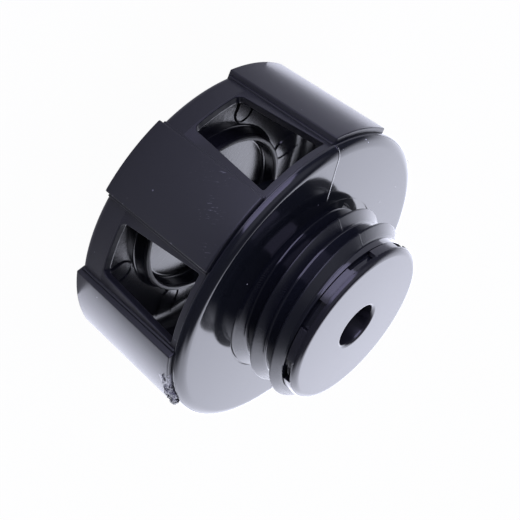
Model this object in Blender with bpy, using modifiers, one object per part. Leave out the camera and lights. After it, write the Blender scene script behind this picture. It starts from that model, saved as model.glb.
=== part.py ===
"""Filler and breather cap of a hydraulic tank, standing on the head of its knob.

The origin is the centre of the head face. +Z runs along the cap's axis, from the knob towards
the tank, so the threaded spigot points up. All lengths are in metres.
"""

import math

import bmesh
import bpy
from mathutils import Matrix, Vector

MM = 0.001

# Fits between the pieces
SEAT_GAP = 0.3 * MM
CUT_OVERRUN = 1.0 * MM
UNION_SINK = 0.6 * MM

# Fineness of round shapes
ROUND_SEGMENTS = 60
VALVE_SEGMENTS = 32
HOLE_SEGMENTS = 12
ARC_STEP_LENGTH = 1.3 * MM
MERGE_DISTANCE = 0.01 * MM
SHARP_ANGLE = math.radians(32)

# Knob: a bell with a flat head, gripping pads outside and a splash ring inside
KNOB_HEIGHT = 32.15 * MM
KNOB_RADIUS_AT_HEAD = 38.5 * MM
KNOB_RADIUS_AT_RIM = 39.4 * MM
KNOB_WALL = 2.2 * MM
KNOB_FLOOR = 1.5 * MM
HEAD_EDGE_FILLET = 1.8 * MM
FLOOR_FILLET = 5.0 * MM
RIM_FILLET = 0.3 * MM

# Gripping pads, one on every sixth of the knob's wall
PAD_COUNT = 6
PAD_ANGLE = math.radians(-90)
PAD_WIDTH = 19.5 * MM
PAD_PROUD_AT_HEAD = 1.5 * MM
PAD_PROUD_AT_RIM = 1.8 * MM
PAD_PAST_RIM = 0.05 * MM
PAD_ABOVE_HEAD = 0.1 * MM
PAD_EDGE_FILLET = 0.3 * MM

# Vent windows between the pads, wider towards the rim
WINDOW_ANGLE = PAD_ANGLE + math.pi / PAD_COUNT
WINDOW_ABOVE_HEAD = 7.0 * MM
WINDOW_BELOW_RIM = 1.85 * MM
WINDOW_WIDTH_AT_HEAD = 14.1 * MM
WINDOW_WIDTH_AT_RIM = 18.8 * MM
WINDOW_FILLET = 1.5 * MM

# Splash ring on the knob's floor
SPLASH_RADIUS = 22.5 * MM
SPLASH_LIP = 1.1 * MM
SPLASH_HEIGHT = 3.7 * MM
SPLASH_DRAFT = 0.5 * MM
SPLASH_INNER_FILLET = 0.9 * MM
SPLASH_OUTER_FILLET = 1.6 * MM
SPLASH_LIP_FILLET = 0.35 * MM

# Low ribs on the floor behind the pads
RIB_WIDTH = 6.4 * MM
RIB_HEIGHT = 0.7 * MM
RIB_GAP_TO_SPLASH_RING = 1.4 * MM

# Base: flange, threaded spigot and hanging standpipe in one moulding
FLANGE_RADIUS = 40.0 * MM
FLANGE_THICKNESS = 2.0 * MM
FLANGE_EDGE_FILLET = 1.9 * MM
FLANGE_LOWER_FILLET = 0.2 * MM
THREAD_RELIEF_CLEARANCE = 0.4 * MM
THREAD_RELIEF_DEPTH = 0.25 * MM
LOCATING_RING_WALL = 1.5 * MM
LOCATING_RING_DEPTH = 1.8 * MM
STANDPIPE_RADIUS = 16.7 * MM
STANDPIPE_WALL = 1.8 * MM
STANDPIPE_DEPTH = 17.5 * MM
STANDPIPE_ROOT_FILLET = 1.0 * MM
SPIGOT_HEIGHT = 13.8 * MM
SPIGOT_CORE_RADIUS = 20.8 * MM
SPIGOT_WALL = 2.6 * MM
SPIGOT_ROOT_FILLET = 0.6 * MM
SPIGOT_TOP_CHAMFER = 0.3 * MM
NECK_HEIGHT = 2.0 * MM
NECK_EDGE_FILLET = 0.3 * MM

# Thread on the spigot, right-handed
THREAD_PITCH = 6.0 * MM
THREAD_RADIUS = 23.4 * MM
THREAD_CREST = 2.3 * MM
THREAD_TANK_FLANK = 1.4 * MM
THREAD_KNOB_FLANK = 0.4 * MM
THREAD_LEAD_ANGLE = math.radians(-91.5)
THREAD_CREST_HEIGHT_AT_LEAD = 4.65 * MM
THREAD_START_TURN = -1.28
THREAD_END_TURN = 1.36
THREAD_SECTIONS_PER_TURN = 40
THREAD_FADE_TURN = 0.09
THREAD_BELOW_SHOULDER = 0.1 * MM
THREAD_LEAST_EDGE = 0.1 * MM
THREAD_FADE_DEPTH = 0.4 * MM

# Web across the base's bore, with the spring's seat
WEB_HUB_RADIUS = 7.0 * MM
WEB_RIM = 1.4 * MM
WEB_OPENINGS = 6
WEB_RIB_WIDTH = 2.0 * MM
SPRING_PIN_HEIGHT = 1.5 * MM
SPRING_PIN_FILLET = 0.4 * MM

# End cap pressed over the spigot's neck
END_CAP_RADIUS = 21.15 * MM
END_CAP_EDGE_FILLET = 1.8 * MM
END_CAP_DISC = 1.2 * MM
SKIRT_WALL = 1.4 * MM
SKIRT_SLOTS = 8
SKIRT_SLOT_ANGLE = math.radians(-80.1)
SKIRT_SLOT_WIDTH = 7.35 * MM
SKIRT_SLOT_TO_DISC = 0.15 * MM
FUNNEL_MOUTH_RADIUS = 6.3 * MM
FUNNEL_MOUTH_FILLET = 0.8 * MM
FUNNEL_SEAT_RADIUS = 4.6 * MM
FUNNEL_WALL = 1.6 * MM
FUNNEL_DEPTH = 6.0 * MM
FUNNEL_ROOT_FILLET = 0.6 * MM

# Relief valve under the funnel's inner end
SEAL_THICKNESS = 1.0 * MM
SEAL_INNER_RADIUS = 4.0 * MM
SEAL_OUTER_RADIUS = 7.0 * MM
VALVE_PLATE_THICKNESS = 1.4 * MM
VALVE_PLATE_RIM = 0.6 * MM
VALVE_PLATE_RIM_HEIGHT = 0.7 * MM
VALVE_PLATE_CENTRE_HEIGHT = 0.5 * MM
VALVE_PLATE_SKIRT_HEIGHT = 1.1 * MM

# Intake valve: a rubber umbrella in the valve plate's centre
UMBRELLA_RADIUS = 3.3 * MM
UMBRELLA_EDGE = 0.4 * MM
UMBRELLA_CROWN = 1.0 * MM
UMBRELLA_STEM_RADIUS = 0.8 * MM
UMBRELLA_BEAD_RADIUS = 1.4 * MM
UMBRELLA_BEAD_LENGTH = 1.2 * MM
INTAKE_HOLES = 4
INTAKE_HOLE_RADIUS = 0.5 * MM
INTAKE_HOLE_CIRCLE = 2.2 * MM

# Relief spring
SPRING_RADIUS = 5.8 * MM
SPRING_WIRE_RADIUS = 0.35 * MM
SPRING_DEAD_TURNS = 1.0
SPRING_ACTIVE_TURNS = 2.5
SPRING_DEAD_COIL_GAP = 0.2 * MM
SPRING_POINTS_PER_TURN = 16

# Filter in the standpipe
RETAINER_THICKNESS = 1.4 * MM
RETAINER_INSET = 0.6 * MM
RETAINER_HOLES = 6
RETAINER_HOLE_RADIUS = 2.4 * MM
RETAINER_HOLE_CIRCLE = 9.0 * MM

# Heights that follow from the sizes above
FLANGE_UNDERSIDE = KNOB_HEIGHT + PAD_PAST_RIM + SEAT_GAP
FLANGE_FACE = FLANGE_UNDERSIDE + FLANGE_THICKNESS
SHOULDER = FLANGE_FACE + SPIGOT_HEIGHT
NECK_TOP = SHOULDER + NECK_HEIGHT
DISC_UNDERSIDE = NECK_TOP + SEAT_GAP
END_FACE = DISC_UNDERSIDE + END_CAP_DISC
SKIRT_FOOT = SHOULDER + SEAT_GAP
FUNNEL_SEAT = END_FACE - FUNNEL_DEPTH
SEAL_TOP = FUNNEL_SEAT - SEAT_GAP
VALVE_PLATE_TOP = SEAL_TOP - SEAL_THICKNESS - SEAT_GAP
VALVE_PLATE_UNDERSIDE = VALVE_PLATE_TOP - VALVE_PLATE_THICKNESS
STANDPIPE_MOUTH = FLANGE_UNDERSIDE - STANDPIPE_DEPTH
RETAINER_UNDERSIDE = STANDPIPE_MOUTH + RETAINER_INSET
RETAINER_TOP = RETAINER_UNDERSIDE + RETAINER_THICKNESS

# Radii that follow from the sizes above
STANDPIPE_BORE = STANDPIPE_RADIUS - STANDPIPE_WALL
SKIRT_BORE = END_CAP_RADIUS - SKIRT_WALL
NECK_RADIUS = SKIRT_BORE - SEAT_GAP
SPIGOT_BORE = SPIGOT_CORE_RADIUS - SPIGOT_WALL
VALVE_RIM_BORE = SEAL_OUTER_RADIUS + SEAT_GAP
VALVE_PLATE_RADIUS = VALVE_RIM_BORE + VALVE_PLATE_RIM
VALVE_SKIRT_BORE = SPRING_RADIUS + SPRING_WIRE_RADIUS + SEAT_GAP
SPRING_PIN_RADIUS = SPRING_RADIUS - SPRING_WIRE_RADIUS - SEAT_GAP

UPRIGHT = Matrix(((0, 0, 1), (1, 0, 0), (0, 1, 0))).to_4x4()


def clear_scene():
    """Remove every object, and return new collections for the parts and for the cutters."""
    for item in list(bpy.data.objects):
        bpy.data.objects.remove(item, do_unlink=True)
    collections = []
    for name in ("filler_cap", "cutters"):
        collection = bpy.data.collections.new(name)
        bpy.context.scene.collection.children.link(collection)
        collections.append(collection)
    return collections


PARTS, CUTTERS = clear_scene()


def plastic(name, color, roughness, metallic=0.0):
    """A Principled material of one colour."""
    material = bpy.data.materials.new(name)
    material.use_nodes = True
    shader = material.node_tree.nodes["Principled BSDF"]
    shader.inputs["Base Color"].default_value = (*color, 1.0)
    shader.inputs["Roughness"].default_value = roughness
    shader.inputs["Metallic"].default_value = metallic
    return material


def add_cutter(name, mesh):
    """Link a mesh as a helper that cuts or joins, and is not a part itself."""
    helper = bpy.data.objects.new(name, mesh)
    helper.hide_render = True
    helper.display_type = "WIRE"
    CUTTERS.objects.link(helper)
    return helper


def evaluated_mesh(item):
    """The mesh of an object with its modifiers applied."""
    graph = bpy.context.evaluated_depsgraph_get()
    graph.update()
    return bpy.data.meshes.new_from_object(item.evaluated_get(graph))


def settle(item, material):
    """Make a finished helper into a part: apply its modifiers, shade it and give it its material."""
    mesh = evaluated_mesh(item)
    mesh.name = item.name
    mesh.shade_smooth()
    mesh.set_sharp_from_angle(angle=SHARP_ANGLE)
    item.modifiers.clear()
    item.data = mesh
    item.data.materials.clear()
    item.data.materials.append(material)
    item.hide_render = False
    item.display_type = "TEXTURED"
    CUTTERS.objects.unlink(item)
    PARTS.objects.link(item)
    return item


def rounded(corners, closed):
    """Points of an outline whose corners are x, y and fillet radius, with an arc at each fillet."""
    points = []
    count = len(corners)
    for index, (x, y, radius) in enumerate(corners):
        here = Vector((x, y))
        at_end = index in (0, count - 1) and not closed
        if at_end or radius == 0:
            points.append(here)
            continue
        before = Vector(corners[index - 1][:2]) - here
        after = Vector(corners[(index + 1) % count][:2]) - here
        half_angle = before.angle(after) / 2
        reach = min(radius / math.tan(half_angle), before.length / 2, after.length / 2)
        centre = here + (before.normalized() + after.normalized()).normalized() * reach / math.cos(half_angle)
        first = here + before.normalized() * reach - centre
        last = here + after.normalized() * reach - centre
        turn = math.atan2(first.cross(last), first.dot(last))
        steps = max(2, round(first.length * abs(turn) / ARC_STEP_LENGTH))
        for step in range(steps + 1):
            points.append(centre + Matrix.Rotation(turn * step / steps, 2) @ first)
    kept = [points[0]]
    for point in points[1:]:
        if (point - kept[-1]).length > MERGE_DISTANCE:
            kept.append(point)
    if closed and (kept[-1] - kept[0]).length <= MERGE_DISTANCE:
        kept.pop()
    return kept


def turned(name, corners, segments, closed=False):
    """A solid of revolution about Z from an outline of radius, height and fillet.

    The outline runs down the outer side from top to bottom. An open one starts and ends on the
    axis, and a closed one goes round the section of a ring.
    """
    outline = rounded(corners, closed)
    edges = [(index, index + 1) for index in range(len(outline) - 1)]
    if closed:
        edges.append((len(outline) - 1, 0))
    mesh = bpy.data.meshes.new(name)
    mesh.from_pydata([(x, 0.0, y) for x, y in outline], edges, [])
    solid = add_cutter(name, mesh)
    screw = solid.modifiers.new("turn", "SCREW")
    screw.steps = segments
    screw.render_steps = segments
    screw.use_merge_vertices = True
    screw.merge_threshold = MERGE_DISTANCE
    return solid


def prism(name, corners, thickness):
    """Mesh of a flat outline in X and Y, with a thickness centred on Z zero."""
    curve = bpy.data.curves.new(name, "CURVE")
    curve.dimensions = "2D"
    curve.fill_mode = "BOTH"
    curve.extrude = thickness / 2
    outline = rounded(corners, True)
    spline = curve.splines.new("POLY")
    spline.points.add(len(outline) - 1)
    for point, (x, y) in zip(spline.points, outline):
        point.co = (x, y, 0.0, 1.0)
    spline.use_cyclic_u = True
    return welded_curve(name, curve)


def welded_curve(name, curve):
    """Turn a curve into a closed mesh, with its caps welded on."""
    item = bpy.data.objects.new(name, curve)
    CUTTERS.objects.link(item)
    mesh = evaluated_mesh(item)
    bpy.data.objects.remove(item)
    work = bmesh.new()
    work.from_mesh(mesh)
    bmesh.ops.remove_doubles(work, verts=work.verts, dist=MERGE_DISTANCE)
    bmesh.ops.recalc_face_normals(work, faces=work.faces)
    work.to_mesh(mesh)
    work.free()
    return mesh


def block(name, low, high):
    """Mesh of a box between two corners."""
    work = bmesh.new()
    size = Vector(high) - Vector(low)
    centre = (Vector(high) + Vector(low)) / 2
    bmesh.ops.create_cube(work, size=1.0, matrix=Matrix.Translation(centre) @ Matrix.Diagonal((*size, 1.0)))
    mesh = bpy.data.meshes.new(name)
    work.to_mesh(mesh)
    work.free()
    return mesh


def rod(name, radius, low, high, offset):
    """Mesh of an upright cylinder between two heights, its axis offset along X."""
    work = bmesh.new()
    place = Matrix.Translation((offset, 0.0, (low + high) / 2))
    bmesh.ops.create_cone(
        work, cap_ends=True, segments=HOLE_SEGMENTS, radius1=radius, radius2=radius,
        depth=high - low, matrix=place)
    mesh = bpy.data.meshes.new(name)
    work.to_mesh(mesh)
    work.free()
    return mesh


def around(name, mesh, count, first_angle):
    """A helper with copies of a mesh, evenly spaced about Z."""
    work = bmesh.new()
    for index in range(count):
        copy = mesh.copy()
        copy.transform(Matrix.Rotation(first_angle + index * math.tau / count, 4, "Z"))
        work.from_mesh(copy)
        bpy.data.meshes.remove(copy)
    ring = bpy.data.meshes.new(name)
    work.to_mesh(ring)
    work.free()
    return add_cutter(name, ring)


def combine(target, other, operation):
    """Cut, join or intersect the target with another helper."""
    boolean = target.modifiers.new(other.name, "BOOLEAN")
    boolean.operation = operation
    boolean.solver = "EXACT"
    boolean.object = other


def knob_bell():
    """The knob's bell: head, wall and splash ring turned from one outline."""
    splash_bore = SPLASH_RADIUS - SPLASH_LIP
    splash_top = KNOB_FLOOR + SPLASH_HEIGHT
    corners = [
        (0.0, KNOB_FLOOR, 0.0),
        (splash_bore - SPLASH_DRAFT, KNOB_FLOOR, SPLASH_INNER_FILLET),
        (splash_bore, splash_top, SPLASH_LIP_FILLET),
        (SPLASH_RADIUS, splash_top, SPLASH_LIP_FILLET),
        (SPLASH_RADIUS + SPLASH_DRAFT, KNOB_FLOOR, SPLASH_OUTER_FILLET),
        (KNOB_RADIUS_AT_HEAD - KNOB_WALL, KNOB_FLOOR, FLOOR_FILLET),
        (KNOB_RADIUS_AT_RIM - KNOB_WALL, KNOB_HEIGHT, 0.0),
        (KNOB_RADIUS_AT_RIM, KNOB_HEIGHT, RIM_FILLET),
        (KNOB_RADIUS_AT_HEAD, 0.0, HEAD_EDGE_FILLET),
        (0.0, 0.0, 0.0),
    ]
    return turned("knob", corners, ROUND_SEGMENTS)


def gripping_pads():
    """Six pads with parallel sides, cut from a ring that stands proud of the knob's wall."""
    pad_top = KNOB_HEIGHT + PAD_PAST_RIM
    root_at_head = KNOB_RADIUS_AT_HEAD - HEAD_EDGE_FILLET
    corners = [
        (KNOB_RADIUS_AT_RIM + PAD_PROUD_AT_RIM, pad_top, PAD_EDGE_FILLET),
        (KNOB_RADIUS_AT_HEAD + PAD_PROUD_AT_HEAD, PAD_ABOVE_HEAD, PAD_EDGE_FILLET),
        (root_at_head, PAD_ABOVE_HEAD, 0.0),
        (KNOB_RADIUS_AT_RIM - UNION_SINK, pad_top, 0.0),
    ]
    pads = turned("pad_ring", corners, ROUND_SEGMENTS, closed=True)
    reach = KNOB_RADIUS_AT_RIM + PAD_PROUD_AT_RIM + CUT_OVERRUN
    low = (root_at_head - CUT_OVERRUN, -PAD_WIDTH / 2, -CUT_OVERRUN)
    high = (reach, PAD_WIDTH / 2, pad_top + CUT_OVERRUN)
    bars = around("pad_bars", block("pad_bar", low, high), PAD_COUNT, PAD_ANGLE)
    combine(pads, bars, "INTERSECT")
    return pads


def vent_windows():
    """Cutters of the vent windows: a trapezium with round corners, wider towards the rim."""
    top = KNOB_HEIGHT - WINDOW_BELOW_RIM
    corners = [
        (-WINDOW_WIDTH_AT_HEAD / 2, WINDOW_ABOVE_HEAD, WINDOW_FILLET),
        (WINDOW_WIDTH_AT_HEAD / 2, WINDOW_ABOVE_HEAD, WINDOW_FILLET),
        (WINDOW_WIDTH_AT_RIM / 2, top, WINDOW_FILLET),
        (-WINDOW_WIDTH_AT_RIM / 2, top, WINDOW_FILLET),
    ]
    depth = 2 * (KNOB_WALL + PAD_PROUD_AT_RIM + CUT_OVERRUN)
    window = prism("window", corners, depth)
    window.transform(Matrix.Translation((KNOB_RADIUS_AT_RIM, 0.0, 0.0)) @ UPRIGHT)
    return around("vent_windows", window, PAD_COUNT, WINDOW_ANGLE)


def floor_ribs():
    """Low ribs on the floor, from near the splash ring into the wall, with a round inner end."""
    start = SPLASH_RADIUS + SPLASH_DRAFT + RIB_GAP_TO_SPLASH_RING
    end = KNOB_RADIUS_AT_HEAD - KNOB_WALL / 2
    corners = [
        (start, -RIB_WIDTH / 2, RIB_WIDTH / 2),
        (end, -RIB_WIDTH / 2, 0.0),
        (end, RIB_WIDTH / 2, 0.0),
        (start, RIB_WIDTH / 2, RIB_WIDTH / 2),
    ]
    height = RIB_HEIGHT + UNION_SINK
    rib = prism("rib", corners, height)
    rib.transform(Matrix.Translation((0.0, 0.0, KNOB_FLOOR + RIB_HEIGHT - height / 2)))
    return around("floor_ribs", rib, PAD_COUNT, PAD_ANGLE)


def make_knob():
    """The knob: bell with pads and ribs joined on, and the windows cut through."""
    knob = knob_bell()
    combine(knob, gripping_pads(), "UNION")
    combine(knob, floor_ribs(), "UNION")
    combine(knob, vent_windows(), "DIFFERENCE")
    return settle(knob, plastic("knob_plastic", (0.022, 0.022, 0.026), 0.32))


def thread_section(turn):
    """Corners of the thread's ridge, as radius and height, at a number of turns from its lead.

    The ridge keeps its height on the helix, fades in depth at both ends, and stays between the
    flange plate and the spigot's shoulder.
    """
    crest_low = FLANGE_FACE + THREAD_CREST_HEIGHT_AT_LEAD + turn * THREAD_PITCH
    from_end = min(turn - THREAD_START_TURN, THREAD_END_TURN - turn)
    fade = min(1.0, from_end / THREAD_FADE_TURN)
    crest = SPIGOT_CORE_RADIUS - THREAD_FADE_DEPTH
    crest += (THREAD_RADIUS - crest) * math.sin(fade * math.pi / 2)
    root = SPIGOT_CORE_RADIUS - SPIGOT_WALL / 2
    lowest = FLANGE_FACE - FLANGE_THICKNESS / 2
    highest = SHOULDER - THREAD_BELOW_SHOULDER
    crest_high = crest_low + THREAD_CREST
    depth_share = (THREAD_RADIUS - root) / (THREAD_RADIUS - SPIGOT_CORE_RADIUS)
    corners = [
        (root, crest_low - THREAD_KNOB_FLANK * depth_share),
        (crest, crest_low),
        (crest, crest_high),
        (root, crest_high + THREAD_TANK_FLANK * depth_share),
    ]
    section = []
    for index, (radius, height) in enumerate(corners):
        low = lowest + index * THREAD_LEAST_EDGE
        high = highest - (len(corners) - 1 - index) * THREAD_LEAST_EDGE
        section.append((radius, min(max(height, low), high)))
    return section


def thread_ridge():
    """The thread's ridge as a loft along the helix, because its section fades and is clipped."""
    count = round((THREAD_END_TURN - THREAD_START_TURN) * THREAD_SECTIONS_PER_TURN)
    work = bmesh.new()
    rings = []
    for step in range(count + 1):
        turn = THREAD_START_TURN + (THREAD_END_TURN - THREAD_START_TURN) * step / count
        angle = THREAD_LEAD_ANGLE + turn * math.tau
        ring = []
        for radius, height in thread_section(turn):
            ring.append(work.verts.new((radius * math.cos(angle), radius * math.sin(angle), height)))
        rings.append(ring)
    for ring, following in zip(rings, rings[1:]):
        for index in range(len(ring)):
            after = (index + 1) % len(ring)
            work.faces.new((ring[index], ring[after], following[after], following[index]))
    work.faces.new(rings[0])
    work.faces.new(rings[-1])
    bmesh.ops.recalc_face_normals(work, faces=work.faces)
    mesh = bpy.data.meshes.new("thread_ridge")
    work.to_mesh(mesh)
    work.free()
    return add_cutter("thread_ridge", mesh)


def base_body():
    """The base's turned body: web, spigot, flange, locating ring and standpipe."""
    ring_radius = KNOB_RADIUS_AT_RIM - KNOB_WALL - SEAT_GAP
    ring_bore = ring_radius - LOCATING_RING_WALL
    ring_foot = FLANGE_UNDERSIDE - LOCATING_RING_DEPTH
    relief_radius = THREAD_RADIUS + THREAD_RELIEF_CLEARANCE
    relief_floor = FLANGE_FACE - THREAD_RELIEF_DEPTH
    corners = [
        (0.0, FLANGE_FACE + SPRING_PIN_HEIGHT, 0.0),
        (SPRING_PIN_RADIUS, FLANGE_FACE + SPRING_PIN_HEIGHT, SPRING_PIN_FILLET),
        (SPRING_PIN_RADIUS, FLANGE_FACE, 0.0),
        (SPIGOT_BORE, FLANGE_FACE, SPIGOT_ROOT_FILLET),
        (SPIGOT_BORE, NECK_TOP, 0.0),
        (NECK_RADIUS, NECK_TOP, NECK_EDGE_FILLET),
        (NECK_RADIUS, SHOULDER, 0.0),
        (SPIGOT_CORE_RADIUS - SPIGOT_TOP_CHAMFER, SHOULDER, 0.0),
        (SPIGOT_CORE_RADIUS, SHOULDER - SPIGOT_TOP_CHAMFER, 0.0),
        (SPIGOT_CORE_RADIUS, relief_floor, SPIGOT_ROOT_FILLET),
        (relief_radius, relief_floor, 0.0),
        (relief_radius, FLANGE_FACE, 0.0),
        (FLANGE_RADIUS, FLANGE_FACE, FLANGE_EDGE_FILLET),
        (FLANGE_RADIUS, FLANGE_UNDERSIDE, FLANGE_LOWER_FILLET),
        (ring_radius, FLANGE_UNDERSIDE, 0.0),
        (ring_radius, ring_foot, 0.0),
        (ring_bore, ring_foot, 0.0),
        (ring_bore, FLANGE_UNDERSIDE, 0.0),
        (STANDPIPE_RADIUS, FLANGE_UNDERSIDE, STANDPIPE_ROOT_FILLET),
        (STANDPIPE_RADIUS, STANDPIPE_MOUTH, 0.0),
        (STANDPIPE_BORE, STANDPIPE_MOUTH, 0.0),
        (STANDPIPE_BORE, FLANGE_UNDERSIDE, 0.0),
        (0.0, FLANGE_UNDERSIDE, 0.0),
    ]
    return turned("base", corners, ROUND_SEGMENTS)


def web_openings():
    """Cutters of the web's openings: a ring parted by straight ribs."""
    low = FLANGE_UNDERSIDE - CUT_OVERRUN
    high = FLANGE_FACE + CUT_OVERRUN
    outer = STANDPIPE_BORE - WEB_RIM
    corners = [
        (outer, high, 0.0),
        (outer, low, 0.0),
        (WEB_HUB_RADIUS, low, 0.0),
        (WEB_HUB_RADIUS, high, 0.0),
    ]
    ring = turned("web_ring", corners, VALVE_SEGMENTS, closed=True)
    rib_low = (WEB_HUB_RADIUS - CUT_OVERRUN, -WEB_RIB_WIDTH / 2, low - CUT_OVERRUN)
    rib_high = (outer + CUT_OVERRUN, WEB_RIB_WIDTH / 2, high + CUT_OVERRUN)
    ribs = around("web_ribs", block("web_rib", rib_low, rib_high), WEB_OPENINGS, PAD_ANGLE)
    combine(ring, ribs, "DIFFERENCE")
    return ring


def make_base():
    """The base: turned body with its thread joined on and the web's openings cut."""
    base = base_body()
    combine(base, thread_ridge(), "UNION")
    combine(base, web_openings(), "DIFFERENCE")
    return settle(base, plastic("base_plastic", (0.016, 0.016, 0.02), 0.2))


def make_end_cap():
    """The end cap: disc, slotted skirt and the funnel whose inner end is the valve's seat."""
    seat_outer = FUNNEL_SEAT_RADIUS + FUNNEL_WALL
    root_outer = FUNNEL_MOUTH_RADIUS + FUNNEL_WALL
    corners = [
        (END_CAP_RADIUS, END_FACE, END_CAP_EDGE_FILLET),
        (END_CAP_RADIUS, SKIRT_FOOT, 0.0),
        (SKIRT_BORE, SKIRT_FOOT, 0.0),
        (SKIRT_BORE, DISC_UNDERSIDE, 0.0),
        (root_outer, DISC_UNDERSIDE, FUNNEL_ROOT_FILLET),
        (seat_outer, FUNNEL_SEAT, 0.0),
        (FUNNEL_SEAT_RADIUS, FUNNEL_SEAT, 0.0),
        (FUNNEL_MOUTH_RADIUS, END_FACE, FUNNEL_MOUTH_FILLET),
    ]
    end_cap = turned("end_cap", corners, ROUND_SEGMENTS, closed=True)
    slot_low = (NECK_RADIUS, -SKIRT_SLOT_WIDTH / 2, SKIRT_FOOT - CUT_OVERRUN)
    slot_high = (END_CAP_RADIUS + CUT_OVERRUN, SKIRT_SLOT_WIDTH / 2, DISC_UNDERSIDE - SKIRT_SLOT_TO_DISC)
    slots = around("skirt_slots", block("slot", slot_low, slot_high), SKIRT_SLOTS, SKIRT_SLOT_ANGLE)
    combine(end_cap, slots, "DIFFERENCE")
    return settle(end_cap, plastic("end_cap_plastic", (0.02, 0.02, 0.024), 0.25))


def make_valve_plate():
    """The relief valve's plate: a rim round the seal, a raised centre and a skirt round the spring."""
    rim_top = VALVE_PLATE_TOP + VALVE_PLATE_RIM_HEIGHT
    centre_top = VALVE_PLATE_TOP + VALVE_PLATE_CENTRE_HEIGHT
    centre_radius = SEAL_INNER_RADIUS - SEAT_GAP
    skirt_foot = VALVE_PLATE_UNDERSIDE - VALVE_PLATE_SKIRT_HEIGHT
    stem_hole = UMBRELLA_STEM_RADIUS + SEAT_GAP
    corners = [
        (stem_hole, centre_top, 0.0),
        (centre_radius, centre_top, 0.0),
        (centre_radius, VALVE_PLATE_TOP, 0.0),
        (VALVE_RIM_BORE, VALVE_PLATE_TOP, 0.0),
        (VALVE_RIM_BORE, rim_top, 0.0),
        (VALVE_PLATE_RADIUS, rim_top, 0.0),
        (VALVE_PLATE_RADIUS, skirt_foot, 0.0),
        (VALVE_SKIRT_BORE, skirt_foot, 0.0),
        (VALVE_SKIRT_BORE, VALVE_PLATE_UNDERSIDE, 0.0),
        (stem_hole, VALVE_PLATE_UNDERSIDE, 0.0),
    ]
    valve_plate = turned("relief_valve_plate", corners, VALVE_SEGMENTS, closed=True)
    low = VALVE_PLATE_UNDERSIDE - CUT_OVERRUN
    hole = rod("intake_hole", INTAKE_HOLE_RADIUS, low, centre_top + CUT_OVERRUN, INTAKE_HOLE_CIRCLE)
    combine(valve_plate, around("intake_holes", hole, INTAKE_HOLES, 0.0), "DIFFERENCE")
    return settle(valve_plate, plastic("valve_plastic", (0.72, 0.7, 0.64), 0.4))


def make_valve_seal():
    """The flat rubber ring that the plate presses against the funnel's inner end."""
    bottom = SEAL_TOP - SEAL_THICKNESS
    corners = [
        (SEAL_OUTER_RADIUS, SEAL_TOP, 0.0),
        (SEAL_OUTER_RADIUS, bottom, 0.0),
        (SEAL_INNER_RADIUS, bottom, 0.0),
        (SEAL_INNER_RADIUS, SEAL_TOP, 0.0),
    ]
    seal = turned("relief_valve_seal", corners, VALVE_SEGMENTS, closed=True)
    return settle(seal, plastic("seal_rubber", (0.03, 0.03, 0.03), 0.7))


def make_intake_valve():
    """The rubber umbrella: its cap covers the plate's small holes, and a bead holds its stem."""
    cap_underside = VALVE_PLATE_TOP + VALVE_PLATE_CENTRE_HEIGHT + SEAT_GAP
    bead_top = VALVE_PLATE_UNDERSIDE - SEAT_GAP
    corners = [
        (0.0, cap_underside + UMBRELLA_CROWN, 0.0),
        (UMBRELLA_STEM_RADIUS, cap_underside + UMBRELLA_CROWN, 0.0),
        (UMBRELLA_RADIUS, cap_underside + UMBRELLA_EDGE, 0.0),
        (UMBRELLA_RADIUS, cap_underside, 0.0),
        (UMBRELLA_STEM_RADIUS, cap_underside, 0.0),
        (UMBRELLA_STEM_RADIUS, bead_top, 0.0),
        (UMBRELLA_BEAD_RADIUS, bead_top, 0.0),
        (UMBRELLA_STEM_RADIUS, bead_top - UMBRELLA_BEAD_LENGTH, 0.0),
        (0.0, bead_top - UMBRELLA_BEAD_LENGTH, 0.0),
    ]
    umbrella = turned("intake_valve", corners, VALVE_SEGMENTS)
    return settle(umbrella, plastic("umbrella_rubber", (0.05, 0.05, 0.05), 0.65))


def make_spring():
    """The relief spring: a wire on a helix, with a dead coil at each end."""
    low = FLANGE_FACE + SEAT_GAP + SPRING_WIRE_RADIUS
    high = VALVE_PLATE_UNDERSIDE - SEAT_GAP - SPRING_WIRE_RADIUS
    dead_rise = SPRING_DEAD_TURNS * (2 * SPRING_WIRE_RADIUS + SPRING_DEAD_COIL_GAP)
    turns = SPRING_ACTIVE_TURNS + 2 * SPRING_DEAD_TURNS
    count = round(turns * SPRING_POINTS_PER_TURN)
    curve = bpy.data.curves.new("relief_spring", "CURVE")
    curve.dimensions = "3D"
    curve.bevel_depth = SPRING_WIRE_RADIUS
    curve.bevel_resolution = 2
    curve.use_fill_caps = True
    spline = curve.splines.new("POLY")
    spline.points.add(count)
    for step, point in enumerate(spline.points):
        turn = turns * step / count
        if turn < SPRING_DEAD_TURNS:
            height = low + dead_rise * turn / SPRING_DEAD_TURNS
        elif turn > turns - SPRING_DEAD_TURNS:
            height = high - dead_rise * (turns - turn) / SPRING_DEAD_TURNS
        else:
            share = (turn - SPRING_DEAD_TURNS) / SPRING_ACTIVE_TURNS
            height = low + dead_rise + share * (high - low - 2 * dead_rise)
        angle = turn * math.tau
        point.co = (SPRING_RADIUS * math.cos(angle), SPRING_RADIUS * math.sin(angle), height, 1.0)
    spring = add_cutter("relief_spring", welded_curve("spring_wire", curve))
    return settle(spring, plastic("spring_steel", (0.6, 0.6, 0.62), 0.3, 1.0))


def make_filter():
    """The filter: a foam plug that fills the standpipe between the web and its retainer."""
    radius = STANDPIPE_BORE - SEAT_GAP
    top = FLANGE_UNDERSIDE - SEAT_GAP
    bottom = RETAINER_TOP + SEAT_GAP
    corners = [(0.0, top, 0.0), (radius, top, 0.0), (radius, bottom, 0.0), (0.0, bottom, 0.0)]
    foam = turned("filter_element", corners, VALVE_SEGMENTS)
    return settle(foam, plastic("filter_foam", (0.35, 0.33, 0.28), 0.9))


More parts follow.
